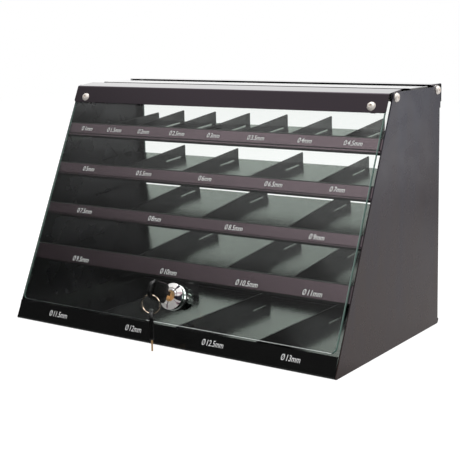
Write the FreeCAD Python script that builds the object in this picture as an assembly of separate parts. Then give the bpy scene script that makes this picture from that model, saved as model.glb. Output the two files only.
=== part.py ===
import FreeCAD, Part
import math
import os
from FreeCAD import Vector

# A bench-top cabinet for drill bits. Four sloping shelves and a base tray, folded from sheet, hang
# between two side panels. Upright dividers part them into compartments, one for each bit size.
# A glass flap hangs from a hinged rail over the leaning front, with a lock, and another over the back.
#
# Sizes are in millimetres and angles in degrees. X runs to the right, Y to the rear and Z upwards.
# Y is counted from the foot of the front lip while modelling, and save() then puts the origin
# in the middle of the underside.

# Cabinet
WIDTH = 420.0
DEPTH = 233.5
HEIGHT = 261.8
PANEL_SHEET = 1.5
FRONT_FOOT = 1.45
FRONT_SLOPE = 0.46
PANEL_FOOT_RADIUS = 4.0
REAR_FLANGE_WIDTH = 6.0
REAR_FLANGE_DROP = 23.0

# Folded trays
SHELF_SHEET = 1.0
BASE_SHEET = 1.2
BEND_RADIUS = 1.0
SEAM_CLEARANCE = 0.2
LIP_FOOT = 1.0
LIP_SLOPE = 0.365
LIP_HEIGHT = 20.7
BASE_SIDE_FLANGE = 10.0
BASE_REAR_LIP = 16.0
TOP_LIP_DROP = 43.3
LOWEST_BAY = 62.8
SHELF_SLOPE = 0.091
SHELF_REAR_SETBACK = 22.0
SHELF_END_FLANGE = 9.0
SHELF_REAR_FLANGE = 6.0
SHELF_CORNER_RADIUS = 4.0
HEM_GAP = 1.0
LABEL_FACES = [10.6, 10.0, 9.5, 16.8]
LIP_STRIPS = [5.1, 4.4, 4.3, 2.8]

# Fixed strip across the top
TOP_PLATE_SETBACK = 38.1
TOP_PLATE_REAR_SETBACK = 24.5
TOP_PLATE_RISE = 1.7
TOP_PLATE_FLANGE = 12.0
TOP_NOTCH_WIDTH = 8.0
TOP_NOTCH_DEPTH = 3.5

# Dividers, row by row from the top, with their places as shares of the way from the middle to a panel
DIVIDER_SHEET = 1.0
DIVIDER_SHARES = [
    [-0.7535, -0.5621, -0.3324, -0.0959, 0.1549, 0.4345, 0.7482],
    [-0.5616, -0.1799, 0.2518, 0.6585],
    [-0.4619, 0.0158, 0.5472],
    [-0.3362, 0.2326, 0.6278],
    [-0.46, 0.048, 0.5324],
]
DIVIDER_FRONT_HEIGHTS = [10.8, 9.0, 7.5, 11.3, 16.8]
DIVIDER_REAR_HEIGHTS = [14.1, 13.2, 14.3, 16.5, 16.8]
DIVIDER_REAR_SETBACK = 3.5
BASE_DIVIDER_SETBACK = 32.0
FINEST_DIVIDER_DROP = 4.0
DIVIDER_LIP_GAP = 0.5
TAB_LENGTH = 12.0
TAB_INSET = 14.0
TAB_CLEARANCE = 0.1
RELIEF_LENGTH = 30.0
RELIEF_HEIGHT = 1.0
REAR_FOOT_LENGTH = 8.0

# Glass flaps
GLASS_THICKNESS = 3.0
GLASS_SIDE_GAP = 2.5
GLASS_CORNER_RADIUS = 6.5
GLASS_TOP_RADIUS = 1.5
GLASS_ARRIS = 0.4
FRONT_GLASS_CLEARANCE = 0.4
GLASS_LIP_GAP = 0.8
REAR_GLASS_CLEARANCE = 3.6
REAR_GLASS_FOOT = 6.0
GLASS_HOLE_RADIUS = 3.0
RAIL_SHEET = 1.2
RAIL_END_GAP = 1.0
RAIL_CHAMFER = 2.0
RAIL_FACE = 20.5
FRONT_RAIL_LIFT = 4.4
REAR_RAIL_LIFT = 6.4
FRONT_RAIL_FLANGE = 26.0
FRONT_RAIL_SLOPE = 0.107
REAR_RAIL_FLANGE = 27.0
EAR_RADIUS = 7.0
FRONT_PIVOT_DROP = 5.0
REAR_PIVOT_DROP = 3.6
FRONT_PIVOT_SETBACK = 7.2
REAR_PIVOT_SETBACK = 8.0
GLASS_SCREW_INSET = 17.0
GLASS_SCREW_RISE = 6.5

# Fasteners
SHANK_RADIUS = 2.5
HEAD_RADIUS = 4.75
HEAD_HEIGHT = 2.75
SOCKET_ACROSS_FLATS = 3.0
SOCKET_DEPTH = 1.6
NUT_ACROSS_FLATS = 8.0
NUT_HEIGHT = 5.0
THREAD_CLEARANCE = 0.05
SHANK_END = 0.6
WASHER_RADIUS = 6.0
WASHER_THICKNESS = 1.0
PIVOT_WASHER_RADIUS = 5.0
PIVOT_WASHER_THICKNESS = 0.8
RUNNING_CLEARANCE = 0.05
PIVOT_HEAD_GAP = 0.1

# Lock, which stands on a line square to the front glass
LOCK_X = 9.0
LOCK_DROP = 16.7
COLLAR_RADIUS = 14.2
COLLAR_LENGTH = 11.0
COLLAR_EDGE = 1.2
GASKET_THICKNESS = 0.6
GASKET_INSET = 0.5
BARREL_RADIUS = 9.5
BARREL_HOLE_CLEARANCE = 0.4
BARREL_LENGTH = 19.0
LOCK_NUT_RADIUS = 12.8
LOCK_NUT_LENGTH = 4.5
PLUG_RADIUS = 6.0
PLUG_RECESS = 0.4
KEYWAY_DEPTH = 9.0
KEYWAY_CLEARANCE = 0.2
CAM_THICKNESS = 2.0
CAM_WIDTH = 13.0
CAM_REACH = 21.0
CAM_GAP = 0.4
CAM_SCREW_RADIUS = 2.0
CAM_SCREW_DEPTH = 7.0
CAM_HEAD_RADIUS = 4.0
CAM_HEAD_HEIGHT = 2.2
CAM_SLOT_WIDTH = 1.0
KEEPER_SHEET = 1.5
KEEPER_WIDTH = 26.0
KEEPER_FLANGE = 12.0
KEEPER_BARREL_GAP = 2.5
KEEPER_CAM_GAP = 0.8

# Keys and their ring
KEY_STANDOFF = 7.0
BLADE_LENGTH = 13.0
BLADE_WIDTH = 7.4
BLADE_THICKNESS = 1.8
BLADE_ROOT = 10.0
BLADE_CUTS = [1.4, 2.2, 1.0]
BLADE_CUT_WIDTH = 0.8
BLADE_CUT_SLANT = 0.4
BOW_LENGTH = 30.0
BOW_WIDTH = 21.5
BOW_THICKNESS = 3.2
BOW_END_RADIUS = 8.0
BOW_BASE_RADIUS = 4.0
BOW_EDGE = 0.8
BOW_SLOT_WALL = 3.0
BOW_SLOT_HEIGHT = 3.6
BOW_SLOT_LENGTH = 14.0
RING_RADIUS = 9.75
RING_WIRE_RADIUS = 0.6
RING_CLEARANCE = 0.35
RING_SECTION_SIDES = 8
RING_TURN = 17.0
SPARE_TURN = 39.5

# Cutters run this far past what they cut, and a round end stops just short of a half circle
CUT_REACH = 5.0
ROUND_END = 0.99

# What follows from the sizes above
HALF_WIDTH = WIDTH / 2
INNER_HALF = HALF_WIDTH - PANEL_SHEET
LEAN = math.atan(FRONT_SLOPE)
OUTWARD = Vector(0, -math.cos(LEAN), math.sin(LEAN))
UPWARD = Vector(0, math.sin(LEAN), math.cos(LEAN))
RIGHT = Vector(1, 0, 0)
REAR = Vector(0, 1, 0)
UP = Vector(0, 0, 1)
RAIL_HALF = INNER_HALF - RAIL_END_GAP
GLASS_HALF = INNER_HALF - GLASS_SIDE_GAP
FRONT_RAIL_FACE = FRONT_GLASS_CLEARANCE + GLASS_THICKNESS + RAIL_SHEET
REAR_RAIL_FACE = DEPTH + REAR_GLASS_CLEARANCE + GLASS_THICKNESS + RAIL_SHEET
BASE_ROW = len(LABEL_FACES)
TOP_LIP_HEIGHT = HEIGHT - TOP_LIP_DROP
SHELF_PITCH = (TOP_LIP_HEIGHT - LIP_HEIGHT - LOWEST_BAY) / (BASE_ROW - 1)
SHELF_REAR = DEPTH - SHELF_REAR_SETBACK
DIVIDER_PLACES = [[share * INNER_HALF for share in row] for row in DIVIDER_SHARES]


def front_y(z):
    return FRONT_FOOT + FRONT_SLOPE * z


TOP_PLATE_FRONT = front_y(HEIGHT) + TOP_PLATE_SETBACK
TOP_PLATE_REAR = DEPTH - TOP_PLATE_REAR_SETBACK
FRONT_PIVOT_HEIGHT = HEIGHT - FRONT_PIVOT_DROP
FRONT_PIVOT = Vector(0, front_y(FRONT_PIVOT_HEIGHT) + FRONT_PIVOT_SETBACK, FRONT_PIVOT_HEIGHT)
REAR_PIVOT = Vector(0, DEPTH - REAR_PIVOT_SETBACK, HEIGHT - REAR_PIVOT_DROP)


def on_front(x, z, out=0.0):
    """A point at height z on the leaning front plane, moved out square to it."""
    return Vector(x, front_y(z), z) + OUTWARD * out


def save(name, *solids):
    shift = Vector(0, -DEPTH / 2, 0)
    moved = [solid.translated(shift) for solid in solids]
    shape = moved[0] if len(moved) == 1 else Part.Compound(moved)
    shape.exportStep(f"parts/{name}.step")


# Outlines and folded sheet

def outline_wire(corners, origin, across, upward):
    """A closed wire through (u, v, radius) corners, each rounded with its radius."""
    count = len(corners)
    flat = [Vector(u, v, 0) for u, v, radius in corners]
    edges = []
    starts = []
    ends = []
    middles = []
    for i, (u, v, radius) in enumerate(corners):
        here = flat[i]
        back = (flat[i - 1] - here).normalize()
        ahead = (flat[(i + 1) % count] - here).normalize()
        if radius <= 0:
            starts.append(here)
            ends.append(here)
            middles.append(None)
            continue
        half = back.getAngle(ahead) / 2
        reach = radius / math.tan(half)
        centre = here + (back + ahead).normalize() * (radius / math.sin(half))
        starts.append(here + back * reach)
        ends.append(here + ahead * reach)
        middles.append(centre + (here - centre).normalize() * radius)

    def place(point):
        return origin + across * point.x + upward * point.y

    for i in range(count):
        if middles[i] is not None:
            arc = Part.Arc(place(starts[i]), place(middles[i]), place(ends[i]))
            edges.append(arc.toShape())
        start = ends[i]
        end = starts[(i + 1) % count]
        if start.distanceToPoint(end) > 1e-6:
            edges.append(Part.makeLine(place(start), place(end)))
    return Part.Wire(edges)


def prism(corners, origin, across, upward, run):
    face = Part.Face(outline_wire(corners, origin, across, upward))
    return face.extrude(run)


def side_prism(corners, x0, x1):
    """A prism along X whose (y, z, radius) corners lie in the side view."""
    return prism(corners, Vector(x0, 0, 0), REAR, UP, Vector(x1 - x0, 0, 0))


def folded(path, sheet, bend):
    """Corners of a sheet that lies to the right of a path, with its folds rounded."""
    points = [Vector(u, v, 0) for u, v in path]
    runs = [(b - a).normalize() for a, b in zip(points, points[1:])]
    sides = [Vector(run.y, -run.x, 0) for run in runs]
    near = [(points[0].x, points[0].y, 0.0)]
    far = [(points[0].x + sides[0].x * sheet, points[0].y + sides[0].y * sheet, 0.0)]
    for i in range(1, len(points) - 1):
        mitre = (sides[i - 1] + sides[i]).normalize()
        offset = points[i] + mitre * (sheet / mitre.dot(sides[i]))
        left_turn = runs[i - 1].cross(runs[i]).z > 0
        near_radius = bend if left_turn else bend + sheet
        far_radius = bend + sheet if left_turn else bend
        near.append((points[i].x, points[i].y, near_radius))
        far.append((offset.x, offset.y, far_radius))
    last = points[-1] + sides[-1] * sheet
    near.append((points[-1].x, points[-1].y, 0.0))
    far.append((last.x, last.y, 0.0))
    return near + far[::-1]


def pivot_hole(pivot):
    return Part.makeCylinder(SHANK_RADIUS + RUNNING_CLEARANCE, 2 * WIDTH, pivot - RIGHT * WIDTH, RIGHT)


def pointed(shape, place, direction):
    """Turns a shape that is made along +Z to a direction and moves it to its place."""
    turn = FreeCAD.Rotation(UP, direction)
    moved = shape.copy()
    moved.Placement = FreeCAD.Placement(place, turn).multiply(moved.Placement)
    return moved


# Side panels

def lip_inner_y(z):
    return LIP_FOOT + LIP_SLOPE * z + BASE_SHEET * math.hypot(1, LIP_SLOPE)


def side_panel(side):
    corners = [
        (front_y(0), 0, PANEL_SHEET),
        (DEPTH, 0, PANEL_FOOT_RADIUS),
        (DEPTH, HEIGHT, PANEL_SHEET),
        (front_y(HEIGHT), HEIGHT, PANEL_SHEET),
    ]
    inner = side * INNER_HALF
    plate = side_prism(corners, inner, side * HALF_WIDTH)
    flange_edge = INNER_HALF - REAR_FLANGE_WIDTH
    low = PANEL_FOOT_RADIUS + PANEL_SHEET
    high = HEIGHT - REAR_FLANGE_DROP
    path = [(side * flange_edge, DEPTH), (side * HALF_WIDTH, DEPTH), (side * HALF_WIDTH, DEPTH / 2)]
    if side < 0:
        path.reverse()
    bent = prism(folded(path, PANEL_SHEET, BEND_RADIUS), Vector(0, 0, low), RIGHT, REAR, UP * (high - low))
    behind = Part.makeBox(PANEL_SHEET, DEPTH / 2, high - low)
    behind.translate(Vector(min(inner, side * HALF_WIDTH), DEPTH / 2, low))
    panel = plate.cut(behind).fuse(bent).removeSplitter()
    for pivot in (FRONT_PIVOT, REAR_PIVOT):
        panel = panel.cut(pivot_hole(pivot))
    return panel


# Base tray and shelves

def slot_box(place_x, y, floor_z, sheet):
    """The cutter of a slot that takes a divider's tab through a floor."""
    half = DIVIDER_SHEET / 2 + TAB_CLEARANCE
    length = TAB_LENGTH + 2 * TAB_CLEARANCE
    box = Part.makeBox(2 * half, length, 6 * sheet)
    box.translate(Vector(place_x - half, y - TAB_CLEARANCE, floor_z(y) - 4 * sheet))
    return box


def tab_places(front, rear):
    """Where the two tabs of a divider start, counted from the front of the cabinet."""
    rear_tab = rear - REAR_FOOT_LENGTH - RELIEF_LENGTH - TAB_LENGTH
    return [front + TAB_INSET, rear_tab]


def base_floor_z(y):
    return BASE_SHEET


def base_tray():
    rear = DEPTH - PANEL_SHEET
    path = [
        (rear, BASE_REAR_LIP),
        (rear, 0),
        (LIP_FOOT, 0),
        (LIP_FOOT + LIP_SLOPE * LIP_HEIGHT, LIP_HEIGHT),
    ]
    tray = side_prism(folded(path, BASE_SHEET, BEND_RADIUS), -INNER_HALF, INNER_HALF)
    flange_front = lip_inner_y(BASE_SIDE_FLANGE) + BEND_RADIUS + BASE_SHEET
    flange_rear = rear - BASE_SHEET - BEND_RADIUS - SEAM_CLEARANCE
    path = [
        (-INNER_HALF, BASE_SIDE_FLANGE),
        (-INNER_HALF, 0),
        (INNER_HALF, 0),
        (INNER_HALF, BASE_SIDE_FLANGE),
    ]
    path.reverse()
    channel = prism(folded(path, BASE_SHEET, BEND_RADIUS), Vector(0, flange_front, 0), RIGHT, UP,
                    Vector(0, flange_rear - flange_front, 0))
    edges = Part.makeBox(2 * INNER_HALF, flange_rear - flange_front, BASE_SHEET)
    edges.translate(Vector(-INNER_HALF, flange_front, 0))
    tray = tray.cut(edges).fuse(channel).removeSplitter()
    for side in (-1, 1):
        relief = Part.makeBox(2 * BEND_RADIUS, 3 * BASE_SHEET, BASE_REAR_LIP)
        x = side * INNER_HALF - BEND_RADIUS
        relief.translate(Vector(x, rear - 2 * BASE_SHEET, PANEL_FOOT_RADIUS))
        tray = tray.cut(relief)
    front, rear_end = divider_span(BASE_ROW)
    for place_x in DIVIDER_PLACES[BASE_ROW]:
        for y in tab_places(front, rear_end):
            tray = tray.cut(slot_box(place_x, y, base_floor_z, BASE_SHEET))
    return tray


def lip_top(row):
    return TOP_LIP_HEIGHT - row * SHELF_PITCH


def lip_foot(row):
    return lip_top(row) - LABEL_FACES[row] - LIP_STRIPS[row]


def strip_depth():
    """How far the lip's upright strip stands behind its folded label face."""
    return SHELF_SHEET + HEM_GAP


def shelf_corner(row):
    """The lower front corner of a shelf, where its floor folds up into the lip."""
    return on_front(0, lip_foot(row), -strip_depth())


def shelf_under_z(row):
    corner = shelf_corner(row)
    return lambda y: corner.z + SHELF_SLOPE * (y - corner.y)


def shelf_floor_z(row):
    under = shelf_under_z(row)
    rise = SHELF_SHEET * math.hypot(1, SHELF_SLOPE)
    return lambda y: under(y) + rise


def shelf(row):
    under = shelf_under_z(row)
    corner = shelf_corner(row)
    flange = SHELF_REAR - SHELF_SHEET
    top = on_front(0, lip_top(row), -strip_depth()) - UPWARD * SHELF_SHEET
    hem_top = top + OUTWARD * HEM_GAP
    hem_foot = on_front(0, lip_top(row) - LABEL_FACES[row], -SHELF_SHEET)
    path = [
        (flange, under(flange) - SHELF_REAR_FLANGE),
        (flange, under(flange)),
        (corner.y, corner.z),
    ]
    body = side_prism(folded(path + [(top.y, top.z)], SHELF_SHEET, BEND_RADIUS), -INNER_HALF, INNER_HALF)
    hem_start = on_front(0, lip_top(row) - LABEL_FACES[row], -strip_depth())
    hem_path = [(hem_start.y, hem_start.z), (top.y, top.z), (hem_top.y, hem_top.z), (hem_foot.y, hem_foot.z)]
    hem = side_prism(folded(hem_path, SHELF_SHEET, 0.45 * HEM_GAP), -INNER_HALF, INNER_HALF)
    slope = Vector(0, 1, SHELF_SLOPE).normalize()
    square = Vector(0, -SHELF_SLOPE, 1).normalize()
    start_y = corner.y + SHELF_END_FLANGE * FRONT_SLOPE + BEND_RADIUS + SHELF_SHEET
    end_y = flange - BEND_RADIUS - SEAM_CLEARANCE
    start = Vector(0, start_y, under(start_y))
    run = slope * ((end_y - start_y) / slope.y)
    path = [
        (-INNER_HALF, -SHELF_END_FLANGE),
        (-INNER_HALF, SHELF_SHEET),
        (INNER_HALF, SHELF_SHEET),
        (INNER_HALF, -SHELF_END_FLANGE),
    ]
    channel = prism(folded(path, SHELF_SHEET, BEND_RADIUS), start, RIGHT, square, run)
    floor_corners = [(-INNER_HALF, 0, 0), (INNER_HALF, 0, 0), (INNER_HALF, SHELF_SHEET, 0),
                     (-INNER_HALF, SHELF_SHEET, 0)]
    floor = prism(floor_corners, start, RIGHT, square, run)
    low_corner = start - square * SHELF_END_FLANGE
    rounding = side_prism([
        (low_corner.y - SHELF_SHEET, low_corner.z - SHELF_SHEET, 0),
        (low_corner.y + SHELF_CORNER_RADIUS, low_corner.z - SHELF_SHEET, 0),
        (low_corner.y - SHELF_SHEET, low_corner.z + SHELF_CORNER_RADIUS, 0),
    ], -INNER_HALF, INNER_HALF)
    tray = body.cut(floor).fuse([channel.cut(rounding), hem]).removeSplitter()
    front, rear_end = divider_span(row)
    floor_z = shelf_floor_z(row)
    for place_x in DIVIDER_PLACES[row]:
        for y in tab_places(front, rear_end):
            tray = tray.cut(slot_box(place_x, y, floor_z, SHELF_SHEET))
    return tray


def top_plate():
    top = HEIGHT + TOP_PLATE_RISE
    path = [
        (-INNER_HALF, top - TOP_PLATE_FLANGE),
        (-INNER_HALF, top),
        (INNER_HALF, top),
        (INNER_HALF, top - TOP_PLATE_FLANGE),
    ]
    depth = TOP_PLATE_REAR - TOP_PLATE_FRONT
    plate = prism(folded(path, PANEL_SHEET, BEND_RADIUS), Vector(0, TOP_PLATE_FRONT, 0), RIGHT, UP,
                  Vector(0, depth, 0))
    for side in (-1, 1):
        for y in (TOP_PLATE_FRONT, TOP_PLATE_REAR - TOP_NOTCH_DEPTH):
            notch = Part.makeBox(TOP_NOTCH_WIDTH, TOP_NOTCH_DEPTH, 3 * TOP_PLATE_FLANGE)
            x = side * INNER_HALF - (TOP_NOTCH_WIDTH if side > 0 else 0)
            notch.translate(Vector(x, y, top - 2 * TOP_PLATE_FLANGE))
            plate = plate.cut(notch)
    return plate


# Dividers

def divider_span(row):
    """The front and rear ends of a row's dividers, at the floor."""
    if row < BASE_ROW:
        fold = math.pi / 2 + LEAN + math.atan(SHELF_SLOPE)
        inner = shelf_corner(row).y + SHELF_SHEET / math.cos(LEAN) + SHELF_SHEET * FRONT_SLOPE
        rear = SHELF_REAR - DIVIDER_REAR_SETBACK
    else:
        fold = math.pi / 2 + math.atan(LIP_SLOPE)
        inner = lip_inner_y(BASE_SHEET)
        rear = DEPTH - BASE_DIVIDER_SETBACK
    return inner + BEND_RADIUS * math.tan(fold / 2) + DIVIDER_LIP_GAP, rear


def divider(row, place_x, drop=0.0):
    front, rear = divider_span(row)
    floor_z = shelf_floor_z(row) if row < BASE_ROW else base_floor_z
    sheet = SHELF_SHEET if row < BASE_ROW else BASE_SHEET
    slope = FRONT_SLOPE if row < BASE_ROW else LIP_SLOPE
    front_height = DIVIDER_FRONT_HEIGHTS[row]
    corners = [(front, floor_z(front), 0)]
    tabs = tab_places(front, rear)
    for start in tabs:
        end = start + TAB_LENGTH
        corners += [
            (start, floor_z(start), 0),
            (start, floor_z(start) - sheet, 0),
            (end, floor_z(end) - sheet, 0),
            (end, floor_z(end), 0),
        ]
    relief = rear - REAR_FOOT_LENGTH - RELIEF_LENGTH
    corners[-1] = (relief, floor_z(relief) + RELIEF_HEIGHT, 0)
    foot = rear - REAR_FOOT_LENGTH
    top_front = front + slope * front_height
    corners += [
        (foot, floor_z(foot) + RELIEF_HEIGHT, 0),
        (foot, floor_z(foot), 0),
        (rear, floor_z(rear), 0),
        (rear, floor_z(rear) + DIVIDER_REAR_HEIGHTS[row] - drop, BEND_RADIUS),
        (top_front, floor_z(top_front) + front_height, BEND_RADIUS),
    ]
    half = DIVIDER_SHEET / 2
    return side_prism(corners, place_x - half, place_x + half)


# Fasteners, made along +Z with the underside of the head at zero

def hexagon(across_flats, height):
    radius = across_flats / math.sqrt(3)
    points = []
    for i in range(7):
        turn = math.radians(60 * i + 30)
        points.append(Vector(radius * math.cos(turn), radius * math.sin(turn), 0))
    return Part.Face(Part.makePolygon(points)).extrude(Vector(0, 0, height))


def button_screw(length):
    """A low domed head with a hexagon socket, its dome in two cones, on a plain shank."""
    profile = [
        Vector(0, 0, 0),
        Vector(HEAD_RADIUS, 0, 0),
        Vector(HEAD_RADIUS, 0, HEAD_HEIGHT * 0.15),
        Vector(HEAD_RADIUS * 0.82, 0, HEAD_HEIGHT * 0.72),
        Vector(HEAD_RADIUS * 0.45, 0, HEAD_HEIGHT),
        Vector(0, 0, HEAD_HEIGHT),
        Vector(0, 0, 0),
    ]
    head = Part.Face(Part.makePolygon(profile)).revolve(Vector(0, 0, 0), UP, 360)
    socket = hexagon(SOCKET_ACROSS_FLATS, HEAD_HEIGHT).translated(Vector(0, 0, HEAD_HEIGHT - SOCKET_DEPTH))
    shank = Part.makeCylinder(SHANK_RADIUS, length, Vector(0, 0, -length))
    return head.cut(socket).fuse(shank).removeSplitter()


def nut():
    bore = Part.makeCylinder(SHANK_RADIUS + THREAD_CLEARANCE, NUT_HEIGHT)
    return hexagon(NUT_ACROSS_FLATS, NUT_HEIGHT).cut(bore)


def washer(radius, thickness):
    bore = Part.makeCylinder(SHANK_RADIUS + THREAD_CLEARANCE, thickness)
    return Part.makeCylinder(radius, thickness).cut(bore)


# Glass flaps

def glass_pane(foot, top, across, upward, outward):
    """A pane with ground edges, its back face on the line from foot to top."""
    height = (top - foot).dot(upward)
    corners = [
        (-GLASS_HALF, 0, GLASS_CORNER_RADIUS),
        (GLASS_HALF, 0, GLASS_CORNER_RADIUS),
        (GLASS_HALF, height, GLASS_TOP_RADIUS),
        (-GLASS_HALF, height, GLASS_TOP_RADIUS),
    ]
    pane = prism(corners, foot, across, upward, outward * GLASS_THICKNESS)
    rims = []
    for edge in pane.Edges:
        depths = [(vertex.Point - foot).dot(outward) for vertex in edge.Vertexes]
        if max(depths) - min(depths) < GLASS_THICKNESS / 2:
            rims.append(edge)
    return pane.makeChamfer(GLASS_ARRIS, rims)


def front_face_length(z, out):
    """The distance up the leaning front, from the level of the underside, of a point at height z."""
    return (z - out * math.sin(LEAN)) / math.cos(LEAN)


def front_rail_corner():
    """The outer corner where the face of the front rail folds into its flange."""
    height = FRONT_PIVOT.z + FRONT_RAIL_LIFT
    foot = Vector(0, FRONT_FOOT, 0) + OUTWARD * FRONT_RAIL_FACE
    return foot + UPWARD * front_face_length(height, FRONT_RAIL_FACE)


def front_flange_z(y):
    corner = front_rail_corner()
    return corner.z + FRONT_RAIL_SLOPE * (y - corner.y)


def rear_flange_z():
    return REAR_PIVOT.z + REAR_RAIL_LIFT


def rail_ear(side, pivot, flange_z):
    """The ear that folds down from the end of a rail's flange, with its pivot hole."""
    inside = RAIL_SHEET / 2
    front = pivot.y - EAR_RADIUS
    rear = pivot.y + EAR_RADIUS
    foot = pivot.z - EAR_RADIUS
    rounding = EAR_RADIUS * ROUND_END
    corners = [
        (front, flange_z(front) - inside, 0),
        (rear, flange_z(rear) - inside, 0),
        (rear, foot, rounding),
        (front, foot, rounding),
    ]
    ear = side_prism(corners, side * (RAIL_HALF - RAIL_SHEET), side * RAIL_HALF)
    return ear.cut(pivot_hole(pivot))


def screw_holes(places, outward, radius):
    return [Part.makeCylinder(radius, 4 * CUT_REACH, place - outward * 2 * CUT_REACH, outward) for place in places]


def rail(path, pivot, flange_z, chamfer_at, screw_places, outward):
    body = side_prism(folded(path, RAIL_SHEET, BEND_RADIUS), -RAIL_HALF, RAIL_HALF)
    ears = [rail_ear(side, pivot, flange_z) for side in (-1, 1)]
    body = body.fuse(ears).removeSplitter()
    along = outward.cross(RIGHT)
    for side in (-1, 1):
        beyond = RIGHT * side * RAIL_CHAMFER
        start = Vector(side * RAIL_HALF, chamfer_at.y, chamfer_at.z) - outward * CUT_REACH
        corner = Part.makePolygon([
            start + along * RAIL_CHAMFER,
            start - beyond,
            start + beyond - along * RAIL_CHAMFER,
            start + along * RAIL_CHAMFER,
        ])
        body = body.cut(Part.Face(corner).extrude(outward * 2 * CUT_REACH))
    for hole in screw_holes(screw_places, outward, SHANK_RADIUS + THREAD_CLEARANCE):
        body = body.cut(hole)
    return body


def flap_hardware(name, places, outward):
    """The screws, washers and nuts that clamp a pane behind its rail. Places lie on the rail's face."""
    stack = RAIL_SHEET + GLASS_THICKNESS + WASHER_THICKNESS + NUT_HEIGHT + SHANK_END
    screws = [pointed(button_screw(stack), place, outward) for place in places]
    behind = -outward * (RAIL_SHEET + GLASS_THICKNESS)
    washers = [pointed(washer(WASHER_RADIUS, WASHER_THICKNESS), place + behind, -outward) for place in places]
    seat = behind - outward * WASHER_THICKNESS
    nuts = [pointed(nut(), place + seat, -outward) for place in places]
    save(f"{name}_glass_screws", *screws)
    save(f"{name}_glass_washers", *washers)
    save(f"{name}_glass_nuts", *nuts)


def pivot_hardware(name, pivot):
    """The screws through the ears of a rail, which turn in the panels with a plastic washer between."""
    length = PIVOT_HEAD_GAP + PANEL_SHEET + RAIL_END_GAP + RAIL_SHEET + NUT_HEIGHT + SHANK_END
    screws = []
    washers = []
    nuts = []
    for side in (-1, 1):
        outward = RIGHT * side
        face = pivot + outward * HALF_WIDTH
        screws.append(pointed(button_screw(length), face + outward * PIVOT_HEAD_GAP, outward))
        inside = face - outward * PANEL_SHEET
        washers.append(pointed(washer(PIVOT_WASHER_RADIUS, PIVOT_WASHER_THICKNESS), inside, -outward))
        nut_seat = inside - outward * (RAIL_END_GAP + RAIL_SHEET)
        nuts.append(pointed(nut(), nut_seat, -outward))
    save(f"{name}_pivot_screws", *screws)
    save(f"{name}_pivot_washers", *washers)
    save(f"{name}_pivot_nuts", *nuts)


def front_flap():
    corner = front_rail_corner()
    face_foot = corner - UPWARD * RAIL_FACE
    flange_end = corner.y + FRONT_RAIL_FLANGE
    path = [(face_foot.y, face_foot.z), (corner.y, corner.z), (flange_end, front_flange_z(flange_end))]
    middle = face_foot + UPWARD * GLASS_SCREW_RISE
    inset = RAIL_HALF - GLASS_SCREW_INSET
    places = [middle + RIGHT * inset * side for side in (-1, 1)]
    save("front_rail", rail(path, FRONT_PIVOT, front_flange_z, face_foot, places, OUTWARD))

    foot = on_front(0, LIP_HEIGHT + GLASS_LIP_GAP, FRONT_GLASS_CLEARANCE)
    top = corner - UPWARD * (RAIL_SHEET + BEND_RADIUS) - OUTWARD * (RAIL_SHEET + GLASS_THICKNESS)
    pane = glass_pane(foot, top, RIGHT, UPWARD, OUTWARD)
    for hole in screw_holes(places, OUTWARD, GLASS_HOLE_RADIUS):
        pane = pane.cut(hole)
    barrel_hole = along_lock(BARREL_RADIUS + BARREL_HOLE_CLEARANCE, -2 * CUT_REACH, CUT_REACH)
    save("front_glass", pane.cut(barrel_hole))
    flap_hardware("front", places, OUTWARD)
    pivot_hardware("front", FRONT_PIVOT)


def rear_flap():
    top = rear_flange_z()
    flange_front = REAR_RAIL_FACE - REAR_RAIL_FLANGE
    path = [(flange_front, top), (REAR_RAIL_FACE, top), (REAR_RAIL_FACE, top - RAIL_FACE)]
    face_foot = Vector(0, REAR_RAIL_FACE, top - RAIL_FACE)
    middle = face_foot + UP * GLASS_SCREW_RISE
    inset = RAIL_HALF - GLASS_SCREW_INSET
    places = [middle + RIGHT * inset * side for side in (-1, 1)]
    save("rear_rail", rail(path, REAR_PIVOT, lambda y: top, face_foot, places, REAR))

    back = DEPTH + REAR_GLASS_CLEARANCE
    foot = Vector(0, back, REAR_GLASS_FOOT)
    pane_top = Vector(0, back, top - RAIL_SHEET - BEND_RADIUS)
    pane = glass_pane(foot, pane_top, RIGHT, UP, REAR)
    for hole in screw_holes(places, REAR, GLASS_HOLE_RADIUS):
        pane = pane.cut(hole)
    save("rear_glass", pane)
    flap_hardware("rear", places, REAR)
    pivot_hardware("rear", REAR_PIVOT)


# Lock

def lock_point(out):
    """A point on the lock's axis, counted outwards from the front face of the glass."""
    height = lip_foot(BASE_ROW - 1) - LOCK_DROP
    return on_front(LOCK_X, height, FRONT_GLASS_CLEARANCE + GLASS_THICKNESS + out)


def along_lock(radius, start, end):
    return Part.makeCylinder(radius, end - start, lock_point(start), OUTWARD)


def rimmed(radius, start, end, rim):
    """A disc on the lock's axis with the edge at one of its ends, rim, bevelled."""
    disc = along_lock(radius, start, end)
    edges = [edge for edge in disc.Edges if (edge.BoundBox.Center - lock_point(rim)).Length < COLLAR_EDGE / 2]
    return disc.makeChamfer(COLLAR_EDGE, edges)


def lock_body():
    front = GASKET_THICKNESS + COLLAR_LENGTH
    collar = rimmed(COLLAR_RADIUS, GASKET_THICKNESS, front, front)
    barrel = along_lock(BARREL_RADIUS, -BARREL_LENGTH, GASKET_THICKNESS + COLLAR_LENGTH / 2)
    bore = along_lock(PLUG_RADIUS + RUNNING_CLEARANCE, -BARREL_LENGTH - CUT_REACH, front + CUT_REACH)
    return collar.fuse(barrel).cut(bore).removeSplitter()


def plug_face():
    return GASKET_THICKNESS + COLLAR_LENGTH - PLUG_RECESS


def cam_front():
    return -BARREL_LENGTH - CAM_GAP


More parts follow.
